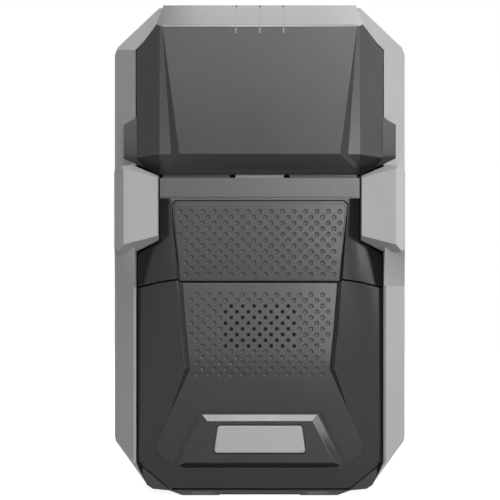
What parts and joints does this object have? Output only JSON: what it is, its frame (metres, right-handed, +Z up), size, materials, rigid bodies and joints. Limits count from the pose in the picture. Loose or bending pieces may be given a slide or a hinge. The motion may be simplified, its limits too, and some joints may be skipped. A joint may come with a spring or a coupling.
{
  "type": "label printer",
  "caption": "Upright pocket label printer with a faceted hood, a hinged front door that a push button unlatches, side rails and a geared print roller.",
  "frame": {"origin": "on the ground, under the middle of the body's box", "axes": "+Z up, +X to the right as the front is seen, front faces -Y"},
  "size_m": [0.0908, 0.0464, 0.1522],
  "materials": {
    "dark_shell": "fine matt texture",
    "light_shell": "fine matt texture",
    "light_button": "smooth matt",
    "black_plastic": "matt",
    "steel": "machined",
    "spring_steel": "bright wire",
    "dark_steel": "black oxide",
    "frame_steel": "zinc plated",
    "socket_steel": "plated",
    "foot_rubber": "matt",
    "gloss_rubber": "slightly glossy",
    "core_plastic": "matt",
    "label_paper": "coated paper",
    "roller_rubber": "ground rubber",
    "bush_brass": "turned",
    "gear_plastic": "acetal",
    "motor_can": "drawn can",
    "heat_sink": "extruded",
    "head_ceramic": "glazed ceramic",
    "circuit_board": "solder mask",
    "clear_plastic": "clear",
    "battery_wrap": "shrink wrap",
    "mesh_cloth": "woven",
    "tag_film": "film"
  },
  "bodies": {
    "housing": {"hood": "dark_shell", "mid_panel": "dark_shell", "rear_housing": "dark_shell", "left_rail": "light_shell", "right_rail": "light_shell", "latch_catch": "steel", "hinge_pins": "steel", "base_foot": "foot_rubber", "foot_pads": "gloss_rubber", "bay_tray": "black_plastic", "spool_spindle": "black_plastic", "label_strip": "label_paper", "guide_bar": "steel", "print_frame": "frame_steel", "platen_bushes": "bush_brass", "idler_pin": "steel", "stepper_motor": "motor_can", "head_pin": "steel", "head_springs": "spring_steel", "exit_bezel": "black_plastic", "tear_blade": "steel", "main_board": "circuit_board", "usb_socket": "socket_steel", "buzzer": "black_plastic", "power_switch": "black_plastic", "light_pipe": "clear_plastic", "battery_pack": "battery_wrap", "board_screws": "steel", "frame_screws": "steel", "case_screws": "dark_steel"},
    "door": {"front_door": "dark_shell", "latch_springs": "spring_steel", "grille_mesh": "mesh_cloth", "radio_tag": "tag_film"},
    "button": {"open_button": "light_button"},
    "latch": {"latch_hook": "black_plastic"},
    "power": {"power_button": "light_button"},
    "platen": {"platen_shaft": "steel", "platen_rubber": "roller_rubber", "platen_gear": "gear_plastic"},
    "idler": {"idler_gear": "gear_plastic"},
    "pinion": {"motor_pinion": "bush_brass", "motor_shaft": "steel"},
    "roll": {"roll_core": "core_plastic", "label_roll": "label_paper"},
    "head": {"head_bracket": "heat_sink", "thermal_head": "head_ceramic"}
  },
  "joints": [
    {"name": "door_hinge", "type": "hinge", "parent": "housing", "child": "door", "pos_m": [0, -0.0105, 0.079], "axis": [-1, 0, 0], "range_deg": [0, 95]},
    {"name": "button_push", "type": "slide", "parent": "door", "child": "button", "axis": [0, 1, 0], "range_m": [0, 0.0016], "stiffness_N_per_m": 500, "springref_m": -0.0006},
    {"name": "latch_lift", "type": "slide", "parent": "door", "child": "latch", "axis": [0, 0, 1], "range_m": [0, 0.0016], "stiffness_N_per_m": 400, "springref_m": -0.0006, "deforming": ["latch_springs"]},
    {"name": "power_push", "type": "slide", "parent": "housing", "child": "power", "axis": [-1, 0, 0], "range_m": [0, 0.0007], "stiffness_N_per_m": 600, "springref_m": -0.0005},
    {"name": "platen_spin", "type": "hinge", "parent": "housing", "child": "platen", "pos_m": [0, -0.0004, 0.13], "axis": [1, 0, 0], "continuous": true},
    {"name": "idler_spin", "type": "hinge", "parent": "housing", "child": "idler", "pos_m": [0, 0.00564, 0.11905], "axis": [1, 0, 0], "continuous": true},
    {"name": "pinion_spin", "type": "hinge", "parent": "housing", "child": "pinion", "pos_m": [0, 0.012, 0.112], "axis": [1, 0, 0], "continuous": true},
    {"name": "roll_spin", "type": "hinge", "parent": "housing", "child": "roll", "pos_m": [0, 0.0036, 0.0385], "axis": [1, 0, 0], "continuous": true},
    {"name": "head_pivot", "type": "hinge", "parent": "housing", "child": "head", "pos_m": [0, -0.0088, 0.1412], "axis": [-1, 0, 0], "range_deg": [0, 2.5], "stiffness_Nm_per_rad": 0.4, "springref_deg": -2.86, "deforming": ["head_springs"]}
  ],
  "couplings": [
    {"joint": "latch_lift", "follows": "button_push", "ratio": 1},
    {"joint": "idler_spin", "follows": "platen_spin", "ratio": -0.78571},
    {"joint": "pinion_spin", "follows": "platen_spin", "ratio": 2.2},
    {"joint": "roll_spin", "follows": "platen_spin", "ratio": 0.28276}
  ]
}
